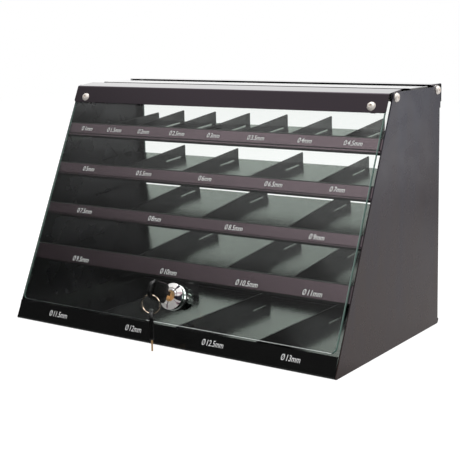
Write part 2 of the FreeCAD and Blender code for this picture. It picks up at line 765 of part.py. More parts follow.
def lock_plug():
    plug = along_lock(PLUG_RADIUS, cam_front(), plug_face())
    half_width = BLADE_WIDTH / 2 + KEYWAY_CLEARANCE
    half_thickness = BLADE_THICKNESS / 2 + KEYWAY_CLEARANCE
    corners = [(-half_thickness, -half_width, 0), (half_thickness, -half_width, 0),
               (half_thickness, half_width, 0), (-half_thickness, half_width, 0)]
    keyway = prism(corners, lock_point(plug_face() - KEYWAY_DEPTH), RIGHT, UPWARD, OUTWARD * KEYWAY_DEPTH * 2)
    tapped = along_lock(CAM_SCREW_RADIUS + THREAD_CLEARANCE, cam_front(), cam_front() + CAM_SCREW_DEPTH)
    return plug.cut(keyway).cut(tapped)


def lock_cam():
    half = CAM_WIDTH / 2
    corners = [
        (half, -half, half * ROUND_END),
        (half, half, half * ROUND_END),
        (-CAM_REACH, half, half / 2),
        (-CAM_REACH, -half, half / 2),
    ]
    cam = prism(corners, lock_point(cam_front()), RIGHT, UPWARD, -OUTWARD * CAM_THICKNESS)
    hole_end = cam_front() - CAM_THICKNESS - CUT_REACH
    return cam.cut(along_lock(CAM_SCREW_RADIUS + THREAD_CLEARANCE, hole_end, cam_front() + CUT_REACH))


def cam_screw():
    back = cam_front() - CAM_THICKNESS
    shank = along_lock(CAM_SCREW_RADIUS, back, cam_front() + CAM_SCREW_DEPTH - CAM_GAP)
    head = along_lock(CAM_HEAD_RADIUS, back - CAM_HEAD_HEIGHT, back)
    half = CAM_SLOT_WIDTH / 2
    end = CAM_HEAD_RADIUS + CAM_SLOT_WIDTH
    slot = prism([(-half, -end, 0), (half, -end, 0), (half, end, 0), (-half, end, 0)],
                 lock_point(back - CAM_HEAD_HEIGHT), RIGHT, UPWARD, OUTWARD * CAM_HEAD_HEIGHT / 2)
    return shank.fuse(head).cut(slot).removeSplitter()


def lock_nut():
    back = -GLASS_THICKNESS - LOCK_NUT_LENGTH
    ring = rimmed(LOCK_NUT_RADIUS, back, -GLASS_THICKNESS, back)
    return ring.cut(along_lock(BARREL_RADIUS + THREAD_CLEARANCE, back - CUT_REACH, 0))


def lock_keeper():
    """The angle under the lowest shelf that the turned cam hooks behind."""
    under = shelf_under_z(BASE_ROW - 1)
    slope = Vector(0, 1, SHELF_SLOPE).normalize()
    low = lock_point(cam_front() + KEEPER_CAM_GAP) + UPWARD * (BARREL_RADIUS + KEEPER_BARREL_GAP)
    climb = (under(low.y) - low.z) / (UPWARD.z - SHELF_SLOPE * UPWARD.y)
    corner = low + UPWARD * climb
    end = corner - slope * KEEPER_FLANGE
    path = [(low.y, low.z), (corner.y, corner.z), (end.y, end.z)]
    outline = folded(path[::-1], KEEPER_SHEET, BEND_RADIUS)
    return side_prism(outline, LOCK_X - KEEPER_WIDTH / 2, LOCK_X + KEEPER_WIDTH / 2)


def lock():
    save("lock_body", lock_body())
    gasket = along_lock(COLLAR_RADIUS - GASKET_INSET, 0, GASKET_THICKNESS)
    save("lock_gasket", gasket.cut(along_lock(BARREL_RADIUS + THREAD_CLEARANCE, -CUT_REACH, CUT_REACH)))
    save("lock_nut", lock_nut())
    save("lock_plug", lock_plug())
    save("lock_cam", lock_cam())
    save("cam_screw", cam_screw())
    save("lock_keeper", lock_keeper())


# Keys, made with the bow's base at zero, the bow along +Z, its width along Y and its flat sides facing X

def key_blade():
    half = BLADE_WIDTH / 2
    tip = half * 0.5
    corners = [(-half, BLADE_ROOT, 0), (-half, -BLADE_LENGTH + tip, 0), (-half + tip, -BLADE_LENGTH, 0),
               (half - tip, -BLADE_LENGTH, 0)]
    step = (BLADE_LENGTH - tip) / (len(BLADE_CUTS) + 1)
    flat = BLADE_CUT_WIDTH / 2
    for i, depth in enumerate(BLADE_CUTS):
        middle = -BLADE_LENGTH + tip + step * (i + 0.7)
        slant = depth * BLADE_CUT_SLANT
        corners += [(half, middle - flat - slant, 0), (half - depth, middle - flat, 0),
                    (half - depth, middle + flat, 0), (half, middle + flat + slant, 0)]
    corners += [(half, BLADE_ROOT, 0)]
    return prism(corners, RIGHT * (-BLADE_THICKNESS / 2), REAR, UP, RIGHT * BLADE_THICKNESS)


def slot_centre():
    return BOW_LENGTH - BOW_SLOT_WALL - BOW_SLOT_HEIGHT / 2


def key_bow():
    half = BOW_WIDTH / 2
    corners = [(-half, 0, BOW_BASE_RADIUS), (half, 0, BOW_BASE_RADIUS),
               (half, BOW_LENGTH, BOW_END_RADIUS), (-half, BOW_LENGTH, BOW_END_RADIUS)]
    bow = prism(corners, RIGHT * (-BOW_THICKNESS / 2), REAR, UP, RIGHT * BOW_THICKNESS)
    rims = [edge for edge in bow.Edges if edge.BoundBox.XLength < BOW_THICKNESS / 2]
    bow = bow.makeChamfer(BOW_EDGE, rims)
    low = slot_centre() - BOW_SLOT_HEIGHT / 2
    high = slot_centre() + BOW_SLOT_HEIGHT / 2
    wide = BOW_SLOT_LENGTH / 2
    end = BOW_SLOT_HEIGHT / 2 * ROUND_END
    slot = prism([(-wide, low, end), (wide, low, end), (wide, high, end), (-wide, high, end)],
                 RIGHT * -BOW_THICKNESS, REAR, UP, RIGHT * 2 * BOW_THICKNESS)
    return bow.cut(slot).cut(key_blade())


def hang_point():
    """Where the ring's wire hangs in the slot of the key that is in the lock."""
    out = plug_face() + KEY_STANDOFF + slot_centre()
    low_end = lock_point(out) - UPWARD * (BOW_SLOT_LENGTH / 2 - BOW_SLOT_HEIGHT / 2)
    return low_end - UP * (BOW_SLOT_HEIGHT / 2 - RING_WIRE_RADIUS - RING_CLEARANCE)


def ring_direction():
    """The level direction in which the ring's wire passes through the keys."""
    turn = math.radians(RING_TURN)
    return Vector(math.cos(turn), math.sin(turn), 0)


def key_ring():
    """A ring of wire, whose round section is turned as an octagon."""
    centre = hang_point() - UP * RING_RADIUS
    axis = ring_direction().cross(UP)
    section = []
    for i in range(RING_SECTION_SIDES + 1):
        turn = 2 * math.pi * (i + 0.5) / RING_SECTION_SIDES
        out = UP * math.cos(turn) + axis * math.sin(turn)
        section.append(hang_point() + out * RING_WIRE_RADIUS)
    return Part.Face(Part.makePolygon(section)).revolve(centre, axis, 360)


def spare_point():
    return hang_point() - UP * 2 * RING_RADIUS


def in_lock(shape):
    """Puts a key in the lock, with its bow standing in the side view."""
    base = lock_point(plug_face() + KEY_STANDOFF)
    turn = FreeCAD.Rotation(RIGHT, -UPWARD, OUTWARD)
    moved = shape.copy()
    moved.Placement = FreeCAD.Placement(base, turn)
    return moved


def hanging(shape):
    """Hangs the spare key from the bottom of the ring, blade downwards."""
    lift = BOW_SLOT_HEIGHT / 2 - RING_WIRE_RADIUS - RING_CLEARANCE
    base = spare_point() - UP * (lift + slot_centre())
    moved = shape.copy()
    moved.Placement = FreeCAD.Placement(base, FreeCAD.Rotation(UP, SPARE_TURN))
    return moved


def keys():
    save("key_blade", in_lock(key_blade()))
    save("key_bow", in_lock(key_bow()))
    save("key_ring", key_ring())
    save("spare_key_blade", hanging(key_blade()))
    save("spare_key_bow", hanging(key_bow()))


# The whole cabinet

def build():
    os.makedirs("parts", exist_ok=True)
    save("side_panel_left", side_panel(-1))
    save("side_panel_right", side_panel(1))
    save("base_tray", base_tray())
    save("top_plate", top_plate())
    for row in range(BASE_ROW):
        save(f"shelf_{row + 1}", shelf(row))
    for row, places in enumerate(DIVIDER_PLACES):
        for i, place_x in enumerate(places):
            drop = FINEST_DIVIDER_DROP if row == 0 and i == 0 else 0.0
            save(f"divider_{row + 1}_{i + 1}", divider(row, place_x, drop))
    front_flap()
    rear_flap()
    lock()
    keys()


build()
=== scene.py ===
# %% [markdown]
# # A drill bit storage cabinet on a studio table
# The real cabinet is a small open case of dark powder-coated sheet steel, with four stepped
# shelves, rows of dividers and two clear glass flaps on hinged rails. A lock and two keys sit in
# the front flap. The CAD model already holds every sheet, pane, screw and key, so this lesson is
# mostly about looks: paint, glass, chrome, brass, printed size labels, a white studio and the
# camera of the photograph. A few pieces whose shape was a millimetre or two off get corrected
# copies.

import math

import bmesh
import bpy
from mathutils import Matrix, Vector


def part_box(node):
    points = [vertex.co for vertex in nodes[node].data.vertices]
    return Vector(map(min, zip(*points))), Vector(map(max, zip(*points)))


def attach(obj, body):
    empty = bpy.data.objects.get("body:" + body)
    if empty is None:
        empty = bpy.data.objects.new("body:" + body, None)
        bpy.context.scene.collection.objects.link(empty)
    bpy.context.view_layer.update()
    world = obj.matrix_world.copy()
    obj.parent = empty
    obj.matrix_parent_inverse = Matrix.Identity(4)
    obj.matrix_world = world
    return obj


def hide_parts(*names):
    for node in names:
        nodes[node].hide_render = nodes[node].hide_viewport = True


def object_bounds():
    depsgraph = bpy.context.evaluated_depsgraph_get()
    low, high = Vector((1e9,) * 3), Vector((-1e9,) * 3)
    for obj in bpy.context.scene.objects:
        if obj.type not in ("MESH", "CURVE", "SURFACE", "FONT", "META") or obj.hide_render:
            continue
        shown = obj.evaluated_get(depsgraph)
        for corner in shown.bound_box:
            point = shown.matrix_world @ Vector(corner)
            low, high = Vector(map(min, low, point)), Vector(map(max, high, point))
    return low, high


MM = 0.001
print("All lengths are metres, and one millimetre is", MM)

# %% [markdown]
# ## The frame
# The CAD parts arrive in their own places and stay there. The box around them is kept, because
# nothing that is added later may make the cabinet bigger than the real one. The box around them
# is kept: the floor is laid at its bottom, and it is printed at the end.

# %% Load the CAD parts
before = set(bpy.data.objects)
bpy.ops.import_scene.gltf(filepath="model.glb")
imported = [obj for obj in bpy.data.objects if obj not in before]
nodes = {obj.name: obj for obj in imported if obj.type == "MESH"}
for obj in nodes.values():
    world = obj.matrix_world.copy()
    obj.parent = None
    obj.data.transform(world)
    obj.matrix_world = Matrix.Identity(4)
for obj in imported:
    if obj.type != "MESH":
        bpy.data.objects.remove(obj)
cad_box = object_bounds()

# %% [markdown]
# ## Sums that become shader nodes
# A material is a small network of nodes. Drawing it link by link hides the idea, so two helpers let
# the network be written as sums. A Wire is the output of a node, and adding or multiplying wires
# puts in the Math node that does it. A Sketch is the network being drawn, and its node method adds
# any node.


# %% Wires and sketches
class Wire:
    """The output of a shader node, which can stand in a sum."""

    def __init__(self, sketch, socket):
        self.sketch = sketch
        self.socket = socket

    def maths(self, operation, first, second=0.0):
        return self.sketch.node("ShaderNodeMath", {"operation": operation}, {0: first, 1: second})

    def __add__(self, other):
        return self.maths("ADD", self, other)

    def __sub__(self, other):
        return self.maths("SUBTRACT", self, other)

    def __rsub__(self, other):
        return self.maths("SUBTRACT", other, self)

    def __mul__(self, other):
        return self.maths("MULTIPLY", self, other)

    def __truediv__(self, other):
        return self.maths("DIVIDE", self, other)

    __radd__ = __add__
    __rmul__ = __mul__

    def clamped(self):
        return self.sketch.node("ShaderNodeClamp", {}, {"Value": self})

    def output(self, name):
        return Wire(self.sketch, self.socket.node.outputs[name])


class Sketch:
    """A node network in the making, of a material or of the world."""

    def __init__(self, tree):
        self.tree = tree
        tree.nodes.clear()

    def node(self, kind, settings, sockets):
        """Adds a node, sets it up, then gives its sockets their values or links."""
        made = self.tree.nodes.new(kind)
        for name, value in settings.items():
            setattr(made, name, value)
        for name, value in sockets.items():
            if isinstance(value, Wire):
                self.tree.links.new(value.socket, made.inputs[name])
            else:
                made.inputs[name].default_value = value
        return Wire(self, made.outputs[0]) if made.outputs else None

    def ramp(self, value, stops, interpolation="LINEAR"):
        """A colour ramp, whose stops are pairs of a place and a colour."""
        wire = self.node("ShaderNodeValToRGB", {}, {"Fac": value})
        ramp = wire.socket.node.color_ramp
        ramp.interpolation = interpolation
        while len(ramp.elements) < len(stops):
            ramp.elements.new(1.0)
        for element, (place, colour) in zip(ramp.elements, stops):
            element.position = place
            element.color = colour
        return wire

    def coordinates(self):
        return self.node("ShaderNodeTexCoord", {}, {}).output("Object")

    def axes(self):
        """The place on the piece, taken apart into X, Y and Z."""
        return self.node("ShaderNodeSeparateXYZ", {}, {"Vector": self.coordinates()})

    def dot(self, vector, direction):
        """How far a vector reaches along a direction."""
        product = {"operation": "DOT_PRODUCT"}
        return self.node("ShaderNodeVectorMath", product, {0: vector, 1: direction}).output("Value")

    def noise(self, size, detail=2.0, stretch=(1.0, 1.0, 1.0)):
        """A cloudy pattern with blots of about this size in metres, from 0 to 1."""
        placed = self.node(
            "ShaderNodeMapping", {}, {"Vector": self.coordinates(), "Scale": stretch}
        )
        return self.node(
            "ShaderNodeTexNoise", {}, {"Vector": placed, "Scale": 1.0 / size, "Detail": detail}
        )

    def mixed(self, factor, first, second):
        """A colour between two colours, which are the Mix node's sockets 6 and 7."""
        wire = self.node(
            "ShaderNodeMix", {"data_type": "RGBA"}, {0: factor, 6: first, 7: second}
        )
        return Wire(self, wire.socket.node.outputs[2])

    def principled(self, sockets):
        """The shader that most surfaces use."""
        return self.node("ShaderNodeBsdfPrincipled", {}, sockets)

    def facing(self, direction, low, high):
        """From 0 to 1 as the surface turns to face this direction."""
        normal = self.node("ShaderNodeTexCoord", {}, {}).output("Normal")
        return ((self.dot(normal, direction) - low) / (high - low)).clamped()

    def bump(self, height, distance, strength):
        return self.node(
            "ShaderNodeBump", {}, {"Height": height, "Distance": distance, "Strength": strength}
        )


def grey(level, tint=(1.0, 1.0, 1.0)):
    """A colour from how light it looks on a screen, from 0 to 255, and a tint."""
    share = level / 255.0
    linear = share / 12.92 if share <= 0.04045 else ((share + 0.055) / 1.055) ** 2.4
    return tuple(linear * channel for channel in tint) + (1.0,)


def new_material(name):
    material = bpy.data.materials.new(name)
    material.use_nodes = True
    return material, Sketch(material.node_tree)


def finish_material(sketch, shader):
    sketch.node("ShaderNodeOutputMaterial", {}, {"Surface": shader})


def new_piece(name, shape, material):
    """An object in the scene from a finished bmesh."""
    mesh = bpy.data.meshes.new(name)
    shape.to_mesh(mesh)
    shape.free()
    mesh.materials.append(material)
    piece = bpy.data.objects.new(name, mesh)
    bpy.context.scene.collection.objects.link(piece)
    return piece


print("Mid grey on screen is", round(grey(128)[0], 3), "in the sums of light")

# %% [markdown]
# ## Powder coat
# The sheet steel has a thin baked powder coat: nearly black, satin, with a fine orange-peel skin
# and faint clouds where the powder lay thicker. Most of what is seen of it is the studio mirrored
# in its skin, so a true dark colour and the right roughness matter most. The lips' faces get a
# painted bronze sheen, and the outer faces of the side panels a painted reflection, cold blue at
# the top and brown below. What faces up is glossy on the rails and the top plate and matt on the
# dividers.


# %% Powder coat
FINE = 3.0
SMOOTH = 1.0
PEEL_SIZE = 1.1 * MM
PEEL_HEIGHT = 0.003 * MM
PEEL_STRENGTH = 0.3
CLOUD_SIZE = 30 * MM
CLOUD_SHARE = 0.6
SPECK_SIZE = 2.2 * MM
SPECK_ROUGHENING = 0.03
EVEN_SKIN = 0.03
UNEVEN_SKIN = 0.3
LIP_LEAN = Vector((0, -0.9085, 0.4179))
BEND_LEAN = Vector((0, -0.574, 0.819))
UP = Vector((0, 0, 1))
LIP_MATCH = (0.997, 0.999)
BEND_MATCH = (0.9, 0.95)
BEND_ROUGHENING = 0.4
TOP_MATCH = (0.9, 0.98)
FOOT_MATCH = (0.15, 0.5)
MATT_ROUGHNESS = 0.7
PANEL_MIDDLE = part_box("side_panel_right")[1].x - 1 * MM
PANEL_MARGIN = 0.2 * MM
STREAK_SIZE = 45 * MM
STREAK_STRETCH = (1.0, 3.0, 0.5)
# Painted reflection on the outer faces of the side panels: brown low down, cold blue higher up.
LOW_REFLECTION_BROWN = ((0.021, 0.01, 0.008, 1), (0.034, 0.019, 0.015, 1))
HIGH_REFLECTION_BLUE = ((0.009, 0.009, 0.022, 1), (0.015, 0.015, 0.032, 1))
REFLECTION_HEIGHT = 240 * MM
REFLECTION_FOOT = 1.15
# Painted sheen of the lips: a lighter, bronze, metallic copy of the coat.
LIP_SHEEN_BRONZE = ((0.24, 0.178, 0.205, 1), (0.31, 0.228, 0.26, 1))


def powder_coat(name, dark, light, roughness, sheen_tint,
                painted_lip_sheen=False, glossy_top=False, matt_top=False, painted_reflection=False, ior=1.5):
    material, sketch = new_material(name)
    clouds = sketch.noise(CLOUD_SIZE, FINE)
    specks = sketch.noise(SPECK_SIZE, FINE)
    peel = sketch.noise(PEEL_SIZE, SMOOTH)
    colour = sketch.mixed(clouds * CLOUD_SHARE + specks * (1 - CLOUD_SHARE), dark, light)
    spread = EVEN_SKIN
    metallic = 0.0
    # The outer faces of the side panels get a painted reflection, cold blue at the top and brown
    # lower down, with a ragged border; the inner faces keep the plain coat.
    if painted_reflection:
        place = sketch.axes()
        across = place.output("X")
        outside = ((across.maths("ABSOLUTE", across) - PANEL_MIDDLE) / PANEL_MARGIN).clamped()
        streaks = sketch.noise(STREAK_SIZE, FINE, STREAK_STRETCH)
        low = (REFLECTION_FOOT - place.output("Z") / REFLECTION_HEIGHT + (streaks - 0.5)).clamped()
        upper_reflection = sketch.mixed(clouds, *HIGH_REFLECTION_BLUE)
        skin = sketch.mixed(low, upper_reflection, sketch.mixed(clouds, *LOW_REFLECTION_BROWN))
        colour = sketch.mixed(outside, colour, skin)
        spread = UNEVEN_SKIN
    if matt_top:
        roughness = sketch.facing(UP, *FOOT_MATCH) * (MATT_ROUGHNESS - roughness) + roughness
    # Faces that look along the lip get a painted bronze sheen: the coat turns metallic and lighter
    # there, while the bends stay dark and rougher.
    if painted_lip_sheen:
        roughness = sketch.facing(BEND_LEAN, *BEND_MATCH) * BEND_ROUGHENING + roughness
        metallic = sketch.facing(LIP_LEAN, *LIP_MATCH)
        colour = sketch.mixed(metallic, colour, sketch.mixed(specks, *LIP_SHEEN_BRONZE))
    unevenness = (clouds - 0.5) * spread + (specks - 0.5) * SPECK_ROUGHENING
    shader = sketch.principled(
        {
            "Base Color": colour,
            "Metallic": metallic,
            "Coat Weight": sketch.facing(UP, *TOP_MATCH) if glossy_top else 0.0,
            "Roughness": unevenness + roughness,
            "IOR": ior,
            "Specular Tint": sheen_tint,
            "Normal": sketch.bump(peel, PEEL_HEIGHT, PEEL_STRENGTH),
        }
    )
    finish_material(sketch, shader)
    return material


BLACK_COAT = (grey(16), grey(24))
DEEP_COAT = (grey(14), grey(20))
cabinet_paint = powder_coat(
    "cabinet_paint", *BLACK_COAT, roughness=0.12, sheen_tint=(1.0, 0.98, 1.0, 1)
)
panel_paint = powder_coat(
    "panel_paint", *BLACK_COAT, roughness=0.26, sheen_tint=(0.95, 0.93, 1.0, 1), painted_reflection=True
)
shelf_paint = powder_coat(
    "shelf_paint", *BLACK_COAT, roughness=0.19, sheen_tint=(0.93, 1.0, 0.95, 1), painted_lip_sheen=True
)
divider_paint = powder_coat(
    "divider_paint", grey(14), grey(22), roughness=0.17, sheen_tint=(0.97, 1.0, 1.0, 1),
    matt_top=True, ior=1.6
)
rail_paint = powder_coat(
    "rail_paint", *DEEP_COAT, roughness=0.1, sheen_tint=(1.0, 0.78, 0.94, 1),
    glossy_top=True, ior=1.7
)
top_paint = powder_coat(
    "top_paint", *DEEP_COAT, roughness=0.1, sheen_tint=(1.0, 0.98, 0.97, 1),
    glossy_top=True, ior=2.2
)
print("Six coats, from", cabinet_paint.name, "to", top_paint.name)

# %% [markdown]
# ## Glass
# The flaps are 3 mm clear float glass, which is faintly green at its ground edges, and its
# down-facing lower edge gets painted shade. It mirrors the room a little, and lamps shine through
# it onto the shelves. A path tracer loses that light inside real refraction, so rays that only ask
# for shade pass straight through.


# %% Glass
GLASS_EDGE = (0.1, 0.17, 0.145, 1)
GLASS_SHADE = (0.008, 0.012, 0.01, 1)
LOWER_EDGE = Vector((0, -0.4179, -0.9085))
BACK_PANE = Vector((0, 1, 0))
EDGE_MATCH = (0.9, 0.95)
SMEAR_SIZE = 35 * MM
SMEAR_STRETCH = (1.0, 1.0, 0.35)
CLEAN_GLASS = 0.55
SMEAR_ROUGHNESS = 0.01
PANE_TINT = (0.985, 1.0, 0.99, 1.0)
SHADE_TINT = (0.95, 0.98, 0.96, 1.0)


def clear_glass_material():
    material, sketch = new_material("clear_glass")
    smears = sketch.noise(SMEAR_SIZE, FINE, SMEAR_STRETCH)
    pane = sketch.principled(
        {
            "Base Color": PANE_TINT,
            "Roughness": (smears - CLEAN_GLASS).clamped() * SMEAR_ROUGHNESS,
            "IOR": 1.42,
            "Transmission Weight": 1.0,
        }
    )
    # Painted shade: the down-facing lower edge of each pane is nearly black.
    under = sketch.facing(LOWER_EDGE, *EDGE_MATCH)
    edge = sketch.principled(
        {
            "Base Color": sketch.mixed(under, GLASS_EDGE, GLASS_SHADE),
            "Roughness": 0.2 + smears * 0.1,
            "IOR": 1.5,
        }
    )
    flat = 0.0
    for direction in (LIP_LEAN, -LIP_LEAN, BACK_PANE, -BACK_PANE):
        flat = sketch.facing(direction, *EDGE_MATCH) + flat
    glass = sketch.node("ShaderNodeMixShader", {}, {0: flat.clamped(), 1: edge, 2: pane})
    straight = sketch.node("ShaderNodeBsdfTransparent", {}, {"Color": SHADE_TINT})
    shade = sketch.node("ShaderNodeLightPath", {}, {}).output("Is Shadow Ray")
    finish_material(
        sketch, sketch.node("ShaderNodeMixShader", {}, {0: shade, 1: glass, 2: straight})
    )
    return material


clear_glass = clear_glass_material()
print("Glass ready")

# %% [markdown]
# ## Metals, rubber and plastic
# The lock is chromed brass, the key blades and the lock's disc are bare brass, the screws are
# plated steel and the pivots turn on plastic washers. Each metal has its own tint and fine marks,
# and the dull ones are only part mirror.


# %% Metals
TONE_SPAN = 9
MARK_ROUGHENING = 0.12
MARK_STRENGTH = 0.3


def metal(name, dark, light, roughness, mark_size, mark_height, metallic=1.0):
    material, sketch = new_material(name)
    marks = sketch.noise(mark_size, FINE)
    clouds = sketch.noise(mark_size * TONE_SPAN)
    shader = sketch.principled(
        {
            "Base Color": sketch.mixed(clouds, dark, light),
            "Metallic": metallic,
            "Roughness": roughness + (marks - 0.5) * MARK_ROUGHENING,
            "Normal": sketch.bump(marks, mark_height, MARK_STRENGTH),
        }
    )
    finish_material(sketch, shader)
    return material


lock_chrome = metal(
    "lock_chrome", (0.74, 0.73, 0.72, 1), (0.84, 0.83, 0.82, 1),
    roughness=0.07, mark_size=0.8 * MM, mark_height=0.002 * MM
)
key_brass = metal(
    "key_brass", (0.70, 0.42, 0.19, 1), (0.86, 0.58, 0.30, 1),
    roughness=0.26, mark_size=0.5 * MM, mark_height=0.006 * MM, metallic=0.55
)
ring_steel = metal(
    "ring_steel", (0.78, 0.62, 0.46, 1), (0.88, 0.76, 0.62, 1),
    roughness=0.16, mark_size=0.5 * MM, mark_height=0.004 * MM
)
plated_steel = metal(
    "plated_steel", (0.86, 0.79, 0.73, 1), (0.94, 0.88, 0.82, 1),
    roughness=0.34, mark_size=0.6 * MM, mark_height=0.004 * MM, metallic=0.45
)
print("Metals:", lock_chrome.name, key_brass.name, ring_steel.name, plated_steel.name)


# %% Rubber and plastic
MOTTLE_SPAN = 14
PORE_ROUGHENING = 0.14
PORE_HEIGHT = 0.012 * MM
PORE_STRENGTH = 0.4
IVORY = (1, 0.99, 0.95)


def moulded(name, dark, light, roughness, grain):
    material, sketch = new_material(name)
    pores = sketch.noise(grain)
    clouds = sketch.noise(grain * MOTTLE_SPAN)
    shader = sketch.principled(
        {
            "Base Color": sketch.mixed(clouds, dark, light),
            "Roughness": roughness + (pores - 0.5) * PORE_ROUGHENING,
            "Normal": sketch.bump(pores, PORE_HEIGHT, PORE_STRENGTH),
        }
    )
    finish_material(sketch, shader)
    return material


black_rubber = moulded("black_rubber", grey(22), grey(34), roughness=0.62, grain=0.4 * MM)
black_plastic = moulded("black_plastic", grey(8), grey(14), roughness=0.26, grain=0.5 * MM)
white_plastic = moulded(
    "white_plastic", grey(222, IVORY), grey(236, IVORY), roughness=0.4, grain=0.5 * MM
)
label_print = moulded("label_print", grey(236), grey(246), roughness=0.5, grain=0.3 * MM)
print("Rubber, plastic and print ready")

# %% Give every CAD part its finish
ROW_SHELVES = ["shelf_1", "shelf_2", "shelf_3", "shelf_4", "base_tray"]
FINISHES = {
    "cabinet_paint": cabinet_paint,
    "rail_paint": rail_paint,
    "clear_glass": clear_glass,
    "black_rubber": black_rubber,
    "black_plastic": black_plastic,
    "white_plastic": white_plastic,
    "plated_steel": plated_steel,
    "lock_chrome": lock_chrome,
    "key_brass": key_brass,
    "ring_steel": ring_steel,
}
for part in nodes.values():
    planned = part.data.materials[0].name.split(".")[0]
    part.data.materials[0] = FINISHES[planned]
for name in ROW_SHELVES:
    nodes[name].data.materials[0] = shelf_paint
for name in ("side_panel_left", "side_panel_right"):
    nodes[name].data.materials[0] = panel_paint
for name in nodes:
    if name.startswith("divider_"):
        nodes[name].data.materials[0] = divider_paint
nodes["top_plate"].data.materials[0] = top_paint
nodes["lock_plug"].data.materials[0] = key_brass
print(len(nodes), "parts painted from", len(FINISHES), "finishes")

# %% [markdown]
# ## Small corrections of shape
# Seen closely, the lips of the three upper shelves reach a little lower and the third shelf rises a
# little more to the back than in the CAD parts. Each of these sheets is copied, its loose CAD faces
# are merged into one skin and its corners are moved by a millimetre or two. The copy stands for the
# part.

# %% Copies of sheets with moved corners
LIP_EXTRA = {"shelf_1": 1.2 * MM, "shelf_2": 1.7 * MM, "shelf_3": 1.7 * MM}
LIP_BOTTOM = {"shelf_1": 209 * MM, "shelf_2": 164.6 * MM, "shelf_3": 120.2 * MM}
LIP_DEPTH = 9 * MM
THIRD_RISE = 2.0 * MM
THIRD_FRONT, THIRD_BACK = (corner.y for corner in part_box("shelf_3"))
MERGE_REACH = 0.001 * MM
SIDEWAYS = Vector((1, 0, 0))
UPWARD = LIP_LEAN.cross(SIDEWAYS)


def reshaped(name, body, move):
    """A merged copy of a CAD part with its corners moved, which stands for the part."""
    shape = bmesh.new()
    shape.from_mesh(nodes[name].data)
    bmesh.ops.remove_doubles(shape, verts=shape.verts, dist=MERGE_REACH)
    for corner in shape.verts:
        corner.co = move(corner.co)
    bmesh.ops.recalc_face_normals(shape, faces=shape.faces)
    copy = new_piece(name + "_skin", shape, nodes[name].data.materials[0])
    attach(copy, body)
    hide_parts(name)


def lowered_lip(name):
    """A move for a shelf, in which what lies below its lip's face goes down along the lip."""
    lip_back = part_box(name)[0].y + LIP_DEPTH

    def move(place):
        if place.y < lip_back and place.z < LIP_BOTTOM[name]:
            return place - UPWARD * LIP_EXTRA[name]
        return place

    return move


def raised_back(place):
    """A point of the third row goes up, and more so towards the back."""
    share = max(0.0, min(1.0, (place.y - THIRD_FRONT) / (THIRD_BACK - THIRD_FRONT)))
    return place + UP * THIRD_RISE * share


third_lip = lowered_lip("shelf_3")
reshaped("shelf_1", "cabinet", lowered_lip("shelf_1"))
reshaped("shelf_2", "cabinet", lowered_lip("shelf_2"))
reshaped("shelf_3", "cabinet", lambda place: raised_back(third_lip(place)))
for name in sorted(nodes):
    if name.startswith("divider_3_"):
        reshaped(name, "cabinet", raised_back)
print("Three shelves and the third row's dividers have corrected copies")

# %% [markdown]
# ## The lock's body
# The real lock has a waist: a wide faceted bezel in front, a narrow neck and a flange on the glass.
# One outline of it, from the bore to the rim and back, is spun around the lock's axis. Its chrome
# gets a painted reflection: on the bezel's face a pattern around the axis stands for a studio with
# dark and light screens, and the neck and flange are painted a dimmer green-grey.

# %% The lock's outline and its chrome
LOCK_OUTLINE = [
    (6.05, -19.0), (9.5, -19.0), (9.5, 0.6), (13.5, 0.6), (13.9, 1.0), (13.9, 2.4), (13.0, 3.4),
    (11.2, 3.7), (11.2, 7.4), (13.6, 7.8), (14.2, 8.4), (14.2, 8.9), (13.4, 9.6), (9.4, 11.6),
    (8.9, 11.6), (8.5, 11.0), (7.9, 11.0), (7.2, 11.5), (6.05, 11.5),
]
LOCK_FACETS = 28
FACE_START = 8.8 * MM
FACE_MARGIN = 0.2 * MM
FACE_DULLING = 0.55
SCREENS_AROUND = 2.1
SCREENS_TURN = 3.7
SCREENS_DEPTH = 14 * MM
# Painted reflection: a dimmer green-grey for the neck and flange, and dark and light screens for
# the bezel's face.
NECK_CHROME = (0.62, 0.68, 0.65, 1)
SCREEN_STOPS = [
    (0.0, (0.02, 0.02, 0.03, 1)), (0.42, (0.62, 0.47, 0.51, 1)), (0.45, (0.97, 0.95, 0.93, 1)),
]


def lock_foot():
    """The point where the lock's axis meets the front face of the glass."""
    places = [corner.co for corner in nodes["lock_gasket"].data.vertices]
    centre = sum(places, Vector()) / len(places)
    glass_face = min(place.dot(LIP_LEAN) for place in places)
    return centre + LIP_LEAN * (glass_face - centre.dot(LIP_LEAN))


def chrome_painted_reflection(name, foot):
    material, sketch = new_material(name)
    place = sketch.node(
        "ShaderNodeVectorMath", {"operation": "SUBTRACT"}, {0: sketch.coordinates(), 1: foot}
    )
    outward = sketch.dot(place, LIP_LEAN)
    angle = outward.maths("ARCTAN2", sketch.dot(place, UPWARD), sketch.dot(place, SIDEWAYS))
    unrolled = sketch.node(
        "ShaderNodeCombineXYZ",
        {},
        {"X": angle * SCREENS_AROUND + SCREENS_TURN, "Y": outward / SCREENS_DEPTH},
    )
    around = sketch.node(
        "ShaderNodeTexNoise",
        {"noise_dimensions": "2D"},
        {"Vector": unrolled, "Scale": 1.0, "Detail": 1.0},
    )
    # Painted reflection: the bezel's face gets the screen pattern and is only partly metal, so the
    # pattern shows whatever it mirrors; the rest gets the dimmer green-grey.
    face = ((outward - FACE_START) / FACE_MARGIN).clamped()
    screens = sketch.mixed(face, NECK_CHROME, sketch.ramp(around, SCREEN_STOPS, "CONSTANT"))
    shader = sketch.principled(
        {
            "Base Color": screens,
            "Metallic": 1 - face * FACE_DULLING,
            "Roughness": 0.1 + around * 0.05,
        }
    )
    finish_material(sketch, shader)
    return material


